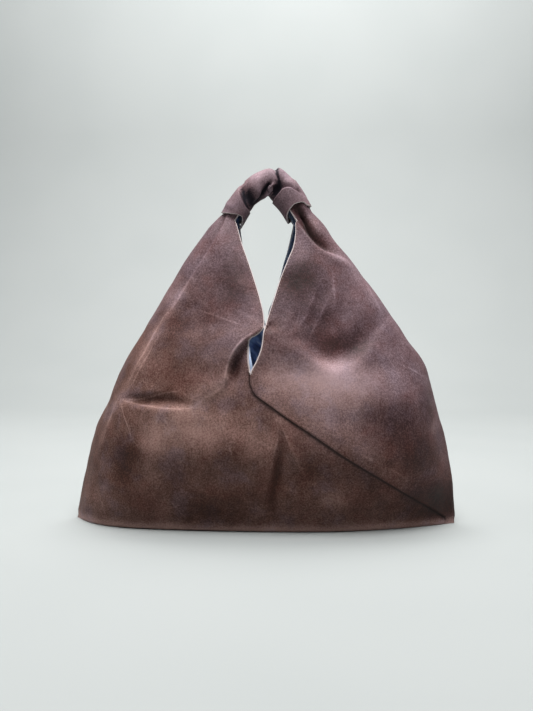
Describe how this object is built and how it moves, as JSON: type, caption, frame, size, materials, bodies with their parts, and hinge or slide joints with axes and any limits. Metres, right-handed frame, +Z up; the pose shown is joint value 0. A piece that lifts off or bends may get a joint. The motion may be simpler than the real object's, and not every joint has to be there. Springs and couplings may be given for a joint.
{
  "type": "azuma bag",
  "caption": "Soft triangular shoulder bag of waxed canvas with a V mouth at front and back, two peaks held in a short sleeve handle, and a cotton lining.",
  "frame": {"origin": "on the floor, under the middle of the bag", "axes": "+Z up, +X to the right along the base as seen from the front, -Y out of the front panel"},
  "size_m": [0.46, 0.1729, 0.4232],
  "materials": {
    "waxed_canvas": "waxed canvas, dull with a soft wax sheen",
    "lining_cotton": "plain blue cotton, slight sheen",
    "sleeve_canvas": "waxed canvas, rubbed lighter"
  },
  "bodies": {
    "root": {"canvas_shell": "waxed_canvas", "cotton_lining": "lining_cotton", "handle_sleeve": "sleeve_canvas"}
  },
  "joints": []
}
